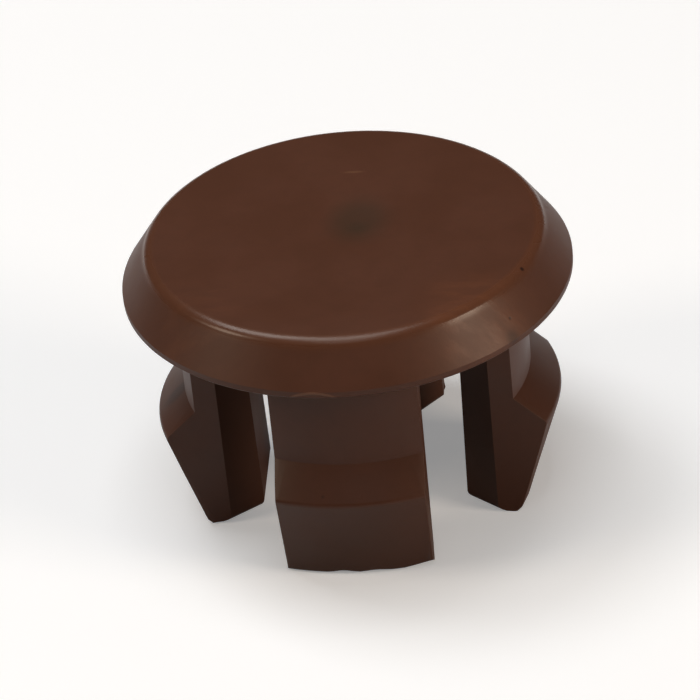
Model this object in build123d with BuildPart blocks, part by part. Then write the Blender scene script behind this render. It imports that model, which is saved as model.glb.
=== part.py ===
"""Snap-in plug for a round hole in a panel, moulded in one piece.

The head's underside lies on the panel and carries four barbed legs, which close in as they are
pushed through the hole and spring out behind the panel. The origin is at the centre of that
underside, on the plug's axis. +Z points out of the panel through the head, and the legs hang
down, one along each of +X, +Y, -X and -Y. All sizes are in millimetres.
"""

import os

from build123d import *

# Head
head_diameter = 20.0  # across the rim
face_diameter = 17.4  # across the flat face, inside the bevel
head_height = 2.25  # from the underside to the face
rim_land = 0.35  # upright band of the rim, below the bevel
face_edge_radius = 0.3
rim_chamfer = 0.1  # on the rim's lower edge

# Shallow sink in the middle of the face, over the mould's gate
sink_diameter = 4.0
sink_depth = 0.12

# Neck and barbs, which turn about the axis
hole_diameter = 15.9  # of the panel hole that the plug closes
hole_clearance = 0.15  # between the hole and the neck, all round
grip_length = 4.9  # from the underside to the barbs, the thickest panel
barb_overhang = 1.35  # of the barb past the neck
barb_rise = 1.5  # length along the axis in which the barb steps out
barb_edge_radius = 0.25
leg_length = 11.0  # from the underside to the tips
tip_setback = 0.35  # of the tips inside the neck, so that they enter the hole
tip_edge_radius = 0.4

# Legs, seen along the axis
leg_count = 4
leg_width = 6.7
leg_thickness = 2.95  # through the middle of the neck, along a radius
inner_chamfer = 1.3  # on the two inner corners of a leg
leg_corner_radius = 0.15
root_radius = 0.3  # where a leg joins the underside

head_radius = head_diameter / 2
face_radius = face_diameter / 2
neck_radius = hole_diameter / 2 - hole_clearance
barb_radius = neck_radius + barb_overhang
barb_depth = grip_length + barb_rise
tip_radius = neck_radius - tip_setback
inner_radius = neck_radius - leg_thickness

with BuildPart() as plug:
    # The outside of all the legs together: neck, barb and taper
    with BuildSketch(Plane.XZ) as leg_profile:
        with BuildLine():
            Polyline(
                (0, 0),
                (neck_radius, 0),
                (neck_radius, -grip_length),
                (barb_radius, -barb_depth),
                (tip_radius, -leg_length),
                (0, -leg_length),
                close=True,
            )
        make_face()
        barb_edge = leg_profile.vertices().sort_by(Axis.X)[-1]
        fillet(barb_edge, barb_edge_radius)
        tip_corner = leg_profile.vertices().group_by(Axis.Y)[0].sort_by(Axis.X)[-1]
        fillet(tip_corner, tip_edge_radius)
    revolve(axis=Axis.Z)

    # The plan of the legs cuts that turned body into four
    with BuildSketch() as leg_plan:
        with PolarLocations(inner_radius, leg_count):
            Rectangle(barb_radius, leg_width, align=(Align.MIN, Align.CENTER))
        inner_corners = leg_plan.vertices().sort_by_distance((0, 0))[: 2 * leg_count]
        chamfer(inner_corners, inner_chamfer)
    extrude(amount=-leg_length, mode=Mode.INTERSECT)

    # Corners down both sides of each leg's turned outside
    turned_faces = plug.faces().filter_by(GeomType.PLANE, reverse=True)
    leg_corners = turned_faces.edges().filter_by(GeomType.CIRCLE, reverse=True)
    fillet(leg_corners, leg_corner_radius)

    # Head
    with BuildSketch(Plane.XZ) as head_profile:
        with BuildLine():
            Polyline(
                (0, 0),
                (head_radius, 0),
                (head_radius, rim_land),
                (face_radius, head_height),
                (0, head_height),
                close=True,
            )
        make_face()
        rim_corner = head_profile.vertices().group_by(Axis.Y)[0].sort_by(Axis.X)[-1]
        chamfer(rim_corner, rim_chamfer)
        face_corner = head_profile.vertices().group_by(Axis.Y)[-1].sort_by(Axis.X)[-1]
        fillet(face_corner, face_edge_radius)
    revolve(axis=Axis.Z)

    # The rim's circle is the longest edge of the underside, and the others are the leg roots
    underside = plug.faces().filter_by(Plane.XY).group_by(Axis.Z)[-2][0]
    leg_roots = underside.edges().sort_by(SortBy.LENGTH)[:-1]
    fillet(leg_roots, root_radius)

    # Sink in the face
    sink_sphere_radius = (sink_diameter**2 / 4 + sink_depth**2) / (2 * sink_depth)
    with Locations((0, 0, head_height - sink_depth + sink_sphere_radius)):
        Sphere(sink_sphere_radius, mode=Mode.SUBTRACT)

plug.part.label = "hole_plug"

os.makedirs("parts", exist_ok=True)
export_step(plug.part, "parts/hole_plug.step")
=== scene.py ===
"""Looks of a snap-in hole plug: one satin brown moulding on a pale floor in soft studio light."""

from math import atan2, cos, degrees, pi, radians, sin, sqrt

import bmesh
import bpy
from mathutils import Matrix, Vector, noise


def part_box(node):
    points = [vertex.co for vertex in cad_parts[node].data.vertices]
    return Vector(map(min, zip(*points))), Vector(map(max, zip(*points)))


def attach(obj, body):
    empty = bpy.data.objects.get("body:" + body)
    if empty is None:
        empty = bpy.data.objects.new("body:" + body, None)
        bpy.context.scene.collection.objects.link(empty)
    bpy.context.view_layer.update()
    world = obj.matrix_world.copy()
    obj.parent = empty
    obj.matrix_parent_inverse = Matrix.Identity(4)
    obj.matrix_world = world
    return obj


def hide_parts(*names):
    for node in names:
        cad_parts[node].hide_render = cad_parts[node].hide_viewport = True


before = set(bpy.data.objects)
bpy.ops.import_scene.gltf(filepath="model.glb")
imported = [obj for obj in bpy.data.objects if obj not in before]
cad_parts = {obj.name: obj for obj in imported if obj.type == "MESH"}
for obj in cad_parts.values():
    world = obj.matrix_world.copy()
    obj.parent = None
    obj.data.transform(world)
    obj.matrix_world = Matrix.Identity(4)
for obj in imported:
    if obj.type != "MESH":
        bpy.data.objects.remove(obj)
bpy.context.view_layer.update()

MM = 0.001
CAD_NODE = "hole_plug"
LOW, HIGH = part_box(CAD_NODE)

# Head, with the CAD part's sizes but for the sink, which is shallower and a little off the middle
HEAD_RADIUS = HIGH.x
HEAD_HEIGHT = HIGH.z
FACE_RADIUS = 8.7 * MM
RIM_LAND = 0.35 * MM
RIM_CHAMFER = 0.1 * MM
FACE_EDGE_RADIUS = 0.3 * MM
SINK_RADIUS = 2.0 * MM
SINK_DEPTH = 0.05 * MM
SINK_PLACE = (0.45 * MM, 1.25 * MM, 0)
SINK_RINGS = 10
FACE_RINGS = (0.8, 0.6, 0.5)  # of the flat face, as shares of its radius

# Legs, with the CAD part's sizes
LEG_LENGTH = -LOW.z
LEG_WIDTH = 6.7 * MM
NECK_RADIUS = 7.8 * MM
BARB_RADIUS = 9.15 * MM
TIP_RADIUS = 7.45 * MM
INNER_RADIUS = 4.85 * MM
INNER_CHAMFER = 1.3 * MM
GRIP_LENGTH = 4.9 * MM
BARB_DEPTH = 6.4 * MM
LEG_COUNT = 4
LEG_OVERLAP = 1.0 * MM  # of a leg into the head before the two are joined

# Small departures of the moulded legs from those sizes
SIDE_DRAFT = 0.012  # narrowing of a leg's two sides, per length down the leg
INNER_SWELL = 0.25 * MM  # by which the inner face comes in at the tip
TIP_SPREAD = 0.12 * MM  # of the middle of the tip's outer face
CORNER_SPREAD = 0.3 * MM  # more of it at the tip's outer corners
TIP_WAVE = 0.25 * MM  # the most by which a tip's lower edge is lifted
WAVES_PER_METRE = 800
WAVE_FADE = 0.2 * MM  # height over which the wave starts

# Rounding of the edges
CORNER_ROUND = 0.15 * MM
BARB_ROUND = 0.25 * MM
TIP_ROUND = 0.4 * MM
ROOT_ROUND = 0.3 * MM
ROUND_STEPS = 4
FACE_EDGE_STEPS = 6
BARB_STEPS = 4
TIP_STEPS = 6
BARB_ARC_IN = 1.25 * BARB_ROUND  # from the barb's widest line to the centre of its rounding
BARB_ARC_UP = 0.35 * BARB_ROUND
TIP_ARC_IN = 0.85 * TIP_ROUND
SMOOTH_ANGLE = radians(32)
NORMAL_WEIGHT = 50

TURNED_SEGMENTS = 160
NEAR = 1e-6  # two places closer than this are the same
ON_UNDERSIDE = 1e-7
FACES_DOWN = 0.99  # least share of a normal that points along the axis
FACES_SIDEWAYS = 0.97

# Camera
CAMERA_TURN = radians(6.165)
CAMERA_ELEVATION = radians(32.08)
CAMERA_ROLL = radians(-5.973)
CAMERA_DISTANCE = 19.95 * HEAD_RADIUS
CAMERA_AIM = (-0.0251 * HEAD_RADIUS, 0.0, -0.4063 * HEAD_RADIUS)
CAMERA_SENSOR = 36.0
CAMERA_LENS = 231.6

# Lamps, which all stand at one distance
LAMP_DISTANCE = 0.4
SOFT_WHITE = (1.0, 0.95, 0.9)
WARM = (1.0, 0.8, 0.62)
WORLD_STRENGTH = 0.04

# Floor
FLOOR_SIZE = 4.0
FLOOR_GAP = 0.01 * MM  # under the tips, so that the two surfaces don't coincide

# Colours of the plastic, of its marks, and of the highlights painted on its bevel, face edge and flash
# lip
BROWN = (0.083, 0.0312, 0.0168, 1)
CLOUDY_BROWN = (0.089, 0.0329, 0.0178, 1)
MOTTLED_BROWN = (0.076, 0.0293, 0.016, 1)
# Lighter brown for the worn bevel, partly a painted highlight where the lamps' sheen falls
SCUFF_AND_SHEEN_BROWN = (0.165, 0.062, 0.031, 1)
# Darker brown over the sink
SINK_DARK_BROWN = (0.036, 0.0215, 0.0105, 1)
# Lighter brown along the face's rounded edge: a painted highlight
EDGE_POLISH_SHEEN_BROWN = (0.16, 0.068, 0.036, 1)
# Light brown of the flash lip: a painted highlight
FLASH_HIGHLIGHT_BROWN = (0.21, 0.1, 0.06, 1)
SCRATCHED_BROWN = (0.17, 0.085, 0.045, 1)
# Dark brown of the specks and of a dark line on one barb
DARK_MARK_BROWN = (0.03, 0.014, 0.01, 1)

# Colours of the floor, and its own glow
FLOOR_WHITE = (0.84, 0.9, 0.97, 1)
FLOOR_GREY = (0.3, 0.3, 0.3, 1)
GLOW_WHITE = (1, 1, 1, 1)
FLOOR_GLOW = 0.26


# ---------------------------------------------------------------- modelling tools


def deselect_all():
    bpy.ops.object.select_all(action="DESELECT")
    bpy.context.view_layer.objects.active = None


def select_only(piece):
    deselect_all()
    piece.select_set(True)
    bpy.context.view_layer.objects.active = piece


def turn(name, profile):
    """A solid turned about Z, drawn out ring by ring through the profile's (radius, height) points."""
    deselect_all()
    radius, height = profile[0]
    bpy.ops.mesh.primitive_circle_add(vertices=TURNED_SEGMENTS, radius=radius, fill_type="NGON")
    piece = bpy.context.object
    piece.name = name
    bpy.ops.object.mode_set(mode="EDIT")
    bpy.ops.mesh.select_all(action="SELECT")
    bpy.ops.transform.translate(value=(0, 0, height))
    for next_radius, next_height in profile[1:]:
        scale = next_radius / radius
        bpy.ops.mesh.extrude_region_move(
            TRANSFORM_OT_translate={"value": (0, 0, next_height - height)}
        )
        bpy.ops.transform.resize(value=(scale, scale, 1))
        radius, height = next_radius, next_height
    bpy.ops.mesh.select_all(action="SELECT")
    bpy.ops.mesh.normals_make_consistent(inside=False)
    bpy.ops.object.mode_set(mode="OBJECT")
    return piece


def slice_off(piece, point, normal):
    """Cuts away what lies beyond a plane and closes the cut."""
    select_only(piece)
    bpy.ops.object.mode_set(mode="EDIT")
    bpy.ops.mesh.select_all(action="SELECT")
    bpy.ops.mesh.bisect(plane_co=point, plane_no=normal, use_fill=True, clear_outer=True)
    bpy.ops.object.mode_set(mode="OBJECT")


def apply_modifier(piece, kind, **settings):
    select_only(piece)
    modifier = piece.modifiers.new(kind.lower(), kind)
    for name, value in settings.items():
        setattr(modifier, name, value)
    bpy.ops.object.modifier_apply(modifier=modifier.name)


def arc_points(centre, radius, start, end, steps):
    """Points of an arc in the (radius, height) plane, with its angles in degrees."""
    points = []
    for step in range(steps + 1):
        angle = radians(start + (end - start) * step / steps)
        points.append((centre[0] + radius * cos(angle), centre[1] + radius * sin(angle)))
    return points


# ---------------------------------------------------------------- the plug


def make_head():
    """The head, with its bevel and rounded face edge, and the sink pressed into the face."""
    sphere_radius = (SINK_RADIUS**2 + SINK_DEPTH**2) / (2 * SINK_DEPTH)
    sink = []
    for ring in range(SINK_RINGS):
        radius = SINK_RADIUS * (1 - ring / SINK_RINGS)
        depth = sqrt(sphere_radius**2 - radius**2) - (sphere_radius - SINK_DEPTH)
        sink.append((radius, HEAD_HEIGHT - depth))
    flat = [(FACE_RADIUS * share, HEAD_HEIGHT) for share in FACE_RINGS]
    head = turn(
        "plug_head",
        [
            (HEAD_RADIUS - RIM_CHAMFER, 0),
            (HEAD_RADIUS, RIM_CHAMFER),
            (HEAD_RADIUS, RIM_LAND),
            (FACE_RADIUS, HEAD_HEIGHT),
        ]
        + flat
        + sink,
    )
    for vertex in head.data.vertices:
        on_face = vertex.co.z > HEAD_HEIGHT - SINK_DEPTH - NEAR
        if on_face and vertex.co.xy.length < SINK_RADIUS + NEAR:
            vertex.co += Vector(SINK_PLACE)
    weigh_face_edge(head)
    apply_modifier(
        head,
        "BEVEL",
        limit_method="WEIGHT",
        width=FACE_EDGE_RADIUS,
        segments=FACE_EDGE_STEPS,
        offset_type="OFFSET",
    )
    return head


def weigh_face_edge(head):
    """Gives the edge between the bevel and the face the weight that the rounding looks for."""
    mesh = head.data
    layer = mesh.attributes.new("bevel_weight_edge", "FLOAT", "EDGE")
    for edge in mesh.edges:
        ends = [mesh.vertices[index].co for index in edge.vertices]
        on_face = all(abs(end.z - HEAD_HEIGHT) < NEAR for end in ends)
        on_rim = all(abs(end.xy.length - FACE_RADIUS) < 10 * NEAR for end in ends)
        layer.data[edge.index].value = 1.0 if on_face and on_rim else 0.0


def make_leg():
    """The leg along +X, which starts as a turned body and is cut to its plan."""
    taper_fall = degrees(atan2(BARB_RADIUS - TIP_RADIUS, LEG_LENGTH - BARB_DEPTH))
    rise_lean = degrees(atan2(BARB_RADIUS - NECK_RADIUS, BARB_DEPTH - GRIP_LENGTH))
    barb_centre = (BARB_RADIUS - BARB_ARC_IN, BARB_ARC_UP - BARB_DEPTH)
    tip_centre = (TIP_RADIUS - TIP_ARC_IN, TIP_ROUND - LEG_LENGTH)
    leg = turn(
        "plug_leg",
        [(NECK_RADIUS, LEG_OVERLAP), (NECK_RADIUS, -GRIP_LENGTH)]
        + arc_points(barb_centre, BARB_ROUND, 90 - rise_lean, -taper_fall, BARB_STEPS)
        + arc_points(tip_centre, TIP_ROUND, -taper_fall, -90, TIP_STEPS),
    )
    half = LEG_WIDTH / 2
    corner = (INNER_RADIUS, half - INNER_CHAMFER, 0)
    slice_off(leg, (0, half, 0), (0, 1, -SIDE_DRAFT))
    slice_off(leg, (0, -half, 0), (0, -1, -SIDE_DRAFT))
    slice_off(leg, (INNER_RADIUS, 0, 0), (-1, 0, 0))
    slice_off(leg, corner, (-1, 1, 0))
    slice_off(leg, (corner[0], -corner[1], 0), (-1, -1, 0))
    shape_tip(leg)
    round_edges(leg, is_inner_tip_edge, TIP_ROUND)
    round_edges(leg, is_leg_corner, CORNER_ROUND)
    return leg


def shape_tip(leg):
    """Swells the tip inwards, and spreads and flattens its outer face."""
    for vertex in leg.data.vertices:
        place = vertex.co
        share = max(0, -place.z - BARB_DEPTH) / (LEG_LENGTH - BARB_DEPTH)
        if place.x < INNER_RADIUS + NEAR:
            place.x -= INNER_SWELL * max(0, -place.z) / LEG_LENGTH
        elif place.xy.length > TIP_RADIUS - TIP_ROUND - 10 * NEAR:
            towards_corner = (place.y / (LEG_WIDTH / 2)) ** 2
            place.x += share * (TIP_SPREAD + CORNER_SPREAD * towards_corner)


def roughen_tip(leg):
    """Lifts the tip's lower edge here and there, as a short moulding leaves it."""
    for vertex in leg.data.vertices:
        place = vertex.co
        below_start = TIP_ROUND - LEG_LENGTH - place.z
        if below_start > 0:
            lift = noise.noise(Vector((place.x, place.y, 0)) * WAVES_PER_METRE)
            place.z += TIP_WAVE * max(0, lift) * min(1, below_start / WAVE_FADE)


def round_edges(piece, chosen, width):
    """Bevels the edges that a test picks out."""
    select_only(piece)
    bpy.ops.object.mode_set(mode="EDIT")
    bpy.ops.mesh.select_mode(type="EDGE")
    mesh = bmesh.from_edit_mesh(piece.data)
    for edge in mesh.edges:
        edge.select_set(len(edge.link_faces) == 2 and chosen(edge))
    bmesh.update_edit_mesh(piece.data)
    bpy.ops.mesh.bevel(offset=width, segments=ROUND_STEPS, affect="EDGES", clamp_overlap=True)
    bpy.ops.object.mode_set(mode="OBJECT")


def is_leg_corner(edge):
    """Between one of the leg's flat sides and its turned outside."""
    sides = [
        abs(face.normal.y) > FACES_SIDEWAYS and abs(face.normal.x) < 0.1 for face in edge.link_faces
    ]
    downwards = any(face.normal.z < -FACES_DOWN for face in edge.link_faces)
    upwards = any(face.normal.z > FACES_DOWN for face in edge.link_faces)
    outside = all(v.co.x > INNER_RADIUS + INNER_CHAMFER + 0.1 * MM for v in edge.verts)
    return sides[0] != sides[1] and outside and not downwards and not upwards


def is_inner_tip_edge(edge):
    """Round the bottom of the leg, where the inner face and the chamfers end."""
    on_level = all(abs(v.co.z + LEG_LENGTH) < NEAR for v in edge.verts)
    downwards = [face.normal.z < -FACES_DOWN for face in edge.link_faces]
    inwards = any(face.normal.x < -0.5 for face in edge.link_faces)
    return on_level and downwards[0] != downwards[1] and inwards


def make_plug():
    """The whole moulding, joined into one closed mesh."""
    head = make_head()
    leg = make_leg()
    legs = [leg]
    for turn_number in range(1, LEG_COUNT):
        copy = leg.copy()
        copy.data = leg.data.copy()
        bpy.context.scene.collection.objects.link(copy)
        copy.data.transform(Matrix.Rotation(2 * pi * turn_number / LEG_COUNT, 4, "Z"))
        legs.append(copy)
    for copy in legs:
        roughen_tip(copy)
    deselect_all()
    for copy in legs:
        copy.select_set(True)
    bpy.context.view_layer.objects.active = leg
    bpy.ops.object.join()
    apply_modifier(head, "BOOLEAN", operation="UNION", object=leg, solver="EXACT")
    bpy.data.objects.remove(leg)
    head.name = "moulded_plug"
    round_roots(head)
    select_only(head)
    bpy.ops.object.shade_smooth_by_angle(angle=SMOOTH_ANGLE)
    apply_modifier(head, "WEIGHTED_NORMAL", keep_sharp=True, weight=NORMAL_WEIGHT)
    return head


def round_roots(plug):
    """Fillets the corner where each leg meets the head's underside."""
    select_only(plug)
    bpy.ops.object.mode_set(mode="EDIT")
    mesh = bmesh.from_edit_mesh(plug.data)
    for edge in mesh.edges:
        on_underside = all(abs(v.co.z) < ON_UNDERSIDE for v in edge.verts)
        meets_leg = any(abs(face.normal.z) < 0.5 for face in edge.link_faces)
        inside_rim = all(v.co.xy.length < NECK_RADIUS + ROOT_ROUND for v in edge.verts)
        edge.select_set(on_underside and meets_leg and inside_rim)
    bmesh.update_edit_mesh(plug.data)
    bpy.ops.mesh.bevel(offset=ROOT_ROUND, segments=ROUND_STEPS, affect="EDGES")
    bpy.ops.object.mode_set(mode="OBJECT")


# ---------------------------------------------------------------- materials


class Value:
    """A shader output that can be used in a Python expression."""

    def __init__(self, bench, socket):
        self.bench = bench
        self.socket = socket

    def __add__(self, other):
        return self.bench.maths("ADD", self, other)

    def __radd__(self, other):
        return self.bench.maths("ADD", other, self)

    def __sub__(self, other):
        return self.bench.maths("SUBTRACT", self, other)

    def __rsub__(self, other):
        return self.bench.maths("SUBTRACT", other, self)

    def __mul__(self, other):
        return self.bench.maths("MULTIPLY", self, other)

    def __rmul__(self, other):
        return self.bench.maths("MULTIPLY", other, self)


class Bench:
    """Builds the nodes of one material."""

    def __init__(self, name):
        self.material = bpy.data.materials.new(name)
        self.material.use_nodes = True
        self.tree = self.material.node_tree
        self.tree.nodes.clear()

    def node(self, kind, output=0, settings=None, **inputs):
        """Makes a node, sets its settings, then fills its sockets with values or links."""
        node = self.tree.nodes.new(kind)
        for name, value in (settings or {}).items():
            setattr(node, name, value)
        for name, value in inputs.items():
            key = int(name[1:]) if name[0] == "n" and name[1:].isdigit() else name.replace("_", " ")
            socket = node.inputs[key]
            if isinstance(value, Value):
                self.tree.links.new(value.socket, socket)
            else:
                socket.default_value = value
        return Value(self, node.outputs[output]) if node.outputs else None

    def maths(self, operation, first, second):
        return self.node("ShaderNodeMath", settings={"operation": operation}, n0=first, n1=second)

    def mask(self, value, start, end):
        """0 before start, 1 past end, and smooth between them."""
        return self.node(
            "ShaderNodeMapRange",
            settings={"interpolation_type": "SMOOTHSTEP"},
            Value=value,
            From_Min=start,
            From_Max=end,
        )

    def noise(self, where, scale, detail, roughness=0.5):
        return self.node(
            "ShaderNodeTexNoise",
            Vector=where,
            Scale=scale,
            Detail=detail,
            Roughness=roughness,
        )

    def mix(self, factor, first, second):
        """A colour between two others."""
        return self.node(
            "ShaderNodeMix",
            output=2,
            settings={"data_type": "RGBA"},
            n0=factor,
            n6=first,
            n7=second,
        )

    def finish(self, shader):
        self.node("ShaderNodeOutputMaterial", Surface=shader)
        return self.material


def spot(bench, where, centre, inner, outer, stretch=(1, 1, 1)):
    """1 near a place on the plug and 0 away from it, in millimetres, drawn out by stretch."""
    offset = bench.node(
        "ShaderNodeMapping",
        settings={"vector_type": "TEXTURE"},
        Vector=where,
        Location=tuple(length * MM for length in centre),
        Scale=stretch,
    )
    reach = bench.node("ShaderNodeVectorMath", "Value", {"operation": "LENGTH"}, n0=offset)
    return 1 - bench.mask(reach, inner * MM, outer * MM)


def polish_and_sheen_edge(bench, where):
    """1 along the rounded edge of the face, which handling polishes; it lowers the roughness there, and
    the lighter colour there is a painted highlight.
    """
    flat_place = bench.node(
        "ShaderNodeVectorMath", settings={"operation": "MULTIPLY"}, n0=where, n1=(1, 1, 0)
    )
    from_axis = bench.node("ShaderNodeVectorMath", "Value", {"operation": "LENGTH"}, n0=flat_place)
    upwards = bench.node("ShaderNodeSeparateXYZ", "Z", n0=where)
    past_face = bench.mask(from_axis, FACE_RADIUS - 0.35 * MM, FACE_RADIUS - 0.1 * MM)
    past_edge = bench.mask(from_axis, FACE_RADIUS + 0.15 * MM, FACE_RADIUS + 0.4 * MM)
    at_top = bench.mask(upwards, HEAD_HEIGHT - 0.6 * MM, HEAD_HEIGHT - 0.3 * MM)
    return past_face * (1 - past_edge) * at_top


def flash_highlight_crescent(bench, where):
    """1 on a thin crescent of flash on the rim, over the front leg, which the bump raises as a lip and
    the colour paints as a light line: a painted highlight.
    """
    across = bench.node("ShaderNodeSeparateXYZ", "X", n0=where)
    upwards = bench.node("ShaderNodeSeparateXYZ", "Z", n0=where)
    along = (across + 0.95 * MM) * (1 / MM)
    above = (upwards - 0.3 * MM) * (1 / MM) + 0.22 * along * along
    line = 1 - bench.mask(bench.maths("ABSOLUTE", above, 0.0), 0.02, 0.09)
    return line * spot(bench, where, (-0.95, -9.9, 0.2), 0.7, 1.15)


def brown_plastic():
    """Satin chocolate-brown plastic, with the marks of its mould and of handling."""
    bench = Bench("brown_plastic")
    where = bench.node("ShaderNodeTexCoord", output="Object")
    long_way = bench.node("ShaderNodeMapping", Vector=where, Rotation=(0, 0, 0.9), Scale=(0.35, 1, 0.35))

    cloud = bench.mask(bench.noise(where, 330.0, detail=4.0), 0.35, 0.65)
    mottle = bench.mask(bench.noise(where, 1500.0, detail=5.0, roughness=0.65), 0.4, 0.7)
    streak = bench.mask(bench.noise(long_way, 1300.0, detail=5.0, roughness=0.6), 0.42, 0.68)

    # Worn, shinier parts of the bevel and rim, painted lighter where the side lamps' sheen falls on them:
    # partly real scuffs, partly a painted highlight
    worn_and_sheen = spot(bench, where, (6.0, -6.6, 1.2), 1.0, 4.0, (1, 1, 0.6))
    worn_and_sheen_left = spot(bench, where, (-6.2, -6.0, 1.0), 0.6, 4.6, (1, 1, 0.6))
    scuff_and_sheen = worn_and_sheen * (0.35 + 0.65 * streak) + worn_and_sheen_left * 0.35 * streak

    # A darker patch over the sink, dirt specks, a dark line on one barb and a scratch on the face
    sink_darkening = spot(bench, where, (0.62, 0.8, 2.25), 0.5, 1.9, (1.0, 1.35, 1.0))
    sink_darkening_heart = spot(bench, where, (0.62, 0.15, 2.25), 0.0, 0.8)
    specks = (
        spot(bench, where, (7.95, -3.68, 2.11), 0.05, 0.14)
        + spot(bench, where, (7.41, -5.94, 1.08), 0.03, 0.1) * 0.7
        + spot(bench, where, (-1.15, -8.75, -5.9), 0.03, 0.12) * 0.5
    )
    bruise = spot(bench, where, (7.5, -6.5, 0.45), 0.1, 0.5) * 0.5
    barb_dark_line = spot(bench, where, (-8.2, -1.05, -5.15), 0.08, 0.2, (5.0, 3.2, 7.0))
    scratch = spot(bench, where, (0.2, 4.9, 2.25), 0.02, 0.13, (5.0, 1.0, 1.0))

    # Mask of the face's rounded edge: real polish in the roughness, painted highlight in the colour
    edge = polish_and_sheen_edge(bench, where)
    flash_lip_and_highlight = flash_highlight_crescent(bench, where)

    colour = bench.mix(cloud, BROWN, CLOUDY_BROWN)
    colour = bench.mix(mottle * 0.4, colour, MOTTLED_BROWN)
    # Painted highlight: the worn parts of the bevel are made lighter where the lamps' sheen falls
    colour = bench.mix(scuff_and_sheen * 0.6, colour, SCUFF_AND_SHEEN_BROWN)
    # Darker over the sink
    colour = bench.mix(sink_darkening * 0.55 + sink_darkening_heart * 0.2, colour, SINK_DARK_BROWN)
    # Painted highlight: the face's rounded edge is made lighter
    colour = bench.mix(edge * 0.25, colour, EDGE_POLISH_SHEEN_BROWN)
    # Painted highlight: a light line along the flash lip
    colour = bench.mix(flash_lip_and_highlight * 0.75, colour, FLASH_HIGHLIGHT_BROWN)
    colour = bench.mix(specks + bruise, colour, DARK_MARK_BROWN)
    # A darker line on one barb's slope
    colour = bench.mix(barb_dark_line * 0.6, colour, DARK_MARK_BROWN)
    colour = bench.mix(scratch * 0.45, colour, SCRATCHED_BROWN)

    roughness = 0.4 + 0.06 * cloud - 0.08 * scuff_and_sheen + 0.08 * sink_darkening - 0.17 * edge
    grain = bench.noise(where, 11000.0, detail=2.0)
    ripple = bench.noise(long_way, 900.0, detail=3.0)
    height = 0.2 * grain + 0.5 * ripple + 0.3 * streak * scuff_and_sheen + flash_lip_and_highlight - 0.5 * specks
    bump = bench.node("ShaderNodeBump", Strength=0.3, Distance=0.00003, Height=height)
    shader = bench.node(
        "ShaderNodeBsdfPrincipled",
        Base_Color=colour,
        Roughness=roughness,
        Specular_IOR_Level=0.3,
        Normal=bump,
    )
    return bench.finish(shader)


def pale_floor():
    """White where it is seen or mirrored, and grey where it only throws light back at the plug."""
    bench = Bench("pale_floor")
    lit = bench.node("ShaderNodeBsdfDiffuse", Color=FLOOR_WHITE)
    glow = bench.node("ShaderNodeEmission", Color=GLOW_WHITE, Strength=FLOOR_GLOW)
    bright = bench.node("ShaderNodeAddShader", n0=lit, n1=glow)
    grey = bench.node("ShaderNodeBsdfDiffuse", Color=FLOOR_GREY)
    seen = bench.node("ShaderNodeLightPath", output="Is Camera Ray")
    mirrored = bench.node("ShaderNodeLightPath", output="Is Glossy Ray")
    through = bench.node("ShaderNodeLightPath", output="Is Transmission Ray")
    shown = bench.maths("MAXIMUM", bench.maths("MAXIMUM", seen, mirrored), through)
    pale = bench.node("ShaderNodeMixShader", n0=seen, n1=lit, n2=bright)
    return bench.finish(bench.node("ShaderNodeMixShader", n0=shown, n1=grey, n2=pale))


# ---------------------------------------------------------------- stage, light and camera


def make_floor():
    deselect_all()
    bpy.ops.mesh.primitive_plane_add(size=FLOOR_SIZE, location=(0, 0, -LEG_LENGTH - FLOOR_GAP))
    floor = bpy.context.object
    floor.name = "floor"
    floor.data.materials.append(pale_floor())


def area_light(name, direction, size, power, colour):
    """A soft square lamp in a direction from the plug, which it faces."""
    lamp = bpy.data.lights.new(name, "AREA")
    lamp.shape = "SQUARE"
    lamp.size = size
    lamp.energy = power
    lamp.color = colour
    rig = bpy.data.objects.new(name, lamp)
    bpy.context.scene.collection.objects.link(rig)
    towards = Vector(direction).normalized()
    rig.location = towards * LAMP_DISTANCE
    rig.rotation_euler = towards.to_track_quat("Z", "Y").to_euler()


def make_lights():
    """Large soft lamps above, and two warmer ones low at the sides that catch the bevel."""
    area_light("back_softbox", direction=(-0.366, 0.211, 0.906), size=0.16, power=0.52, colour=SOFT_WHITE)
    area_light("overhead_softbox", direction=(0.0, 0.0, 1.0), size=0.16, power=0.41, colour=SOFT_WHITE)
    area_light("front_softbox", direction=(0.0, -0.423, 0.906), size=0.14, power=0.1, colour=SOFT_WHITE)
    area_light("right_softbox", direction=(0.88, -0.32, 0.34), size=0.14, power=0.7, colour=WARM)
    area_light("left_softbox", direction=(-0.75, -0.22, 0.58), size=0.12, power=0.36, colour=WARM)
    world = bpy.data.worlds.new("studio")
    world.use_nodes = True
    world.node_tree.nodes["Background"].inputs["Color"].default_value = (1, 1, 1, 1)
    world.node_tree.nodes["Background"].inputs["Strength"].default_value = WORLD_STRENGTH
    bpy.context.scene.world = world


def make_camera():
    """A long lens that looks down at the plug, from a little to its right, and is rolled a little."""
    camera = bpy.data.cameras.new("camera")
    camera.sensor_width = CAMERA_SENSOR
    camera.lens = CAMERA_LENS
    camera.clip_start = 0.01
    camera.clip_end = 10
    rig = bpy.data.objects.new("camera", camera)
    bpy.context.scene.collection.objects.link(rig)
    swing = Matrix.Rotation(CAMERA_TURN, 4, "Z")
    place = swing @ Vector(
        (0, -CAMERA_DISTANCE * cos(CAMERA_ELEVATION), CAMERA_DISTANCE * sin(CAMERA_ELEVATION))
    )
    aim = swing @ Vector(CAMERA_AIM)
    look = (aim - place).to_track_quat("-Z", "Y").to_matrix().to_4x4()
    rig.matrix_world = Matrix.Translation(place) @ look @ Matrix.Rotation(CAMERA_ROLL, 4, "Z")
    bpy.context.scene.camera = rig


make_camera()
make_floor()
make_lights()
plug = make_plug()
plug.data.materials.clear()
plug.data.materials.append(brown_plastic())
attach(plug, "root")
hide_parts(CAD_NODE)

bpy.context.scene.view_settings.view_transform = "Standard"
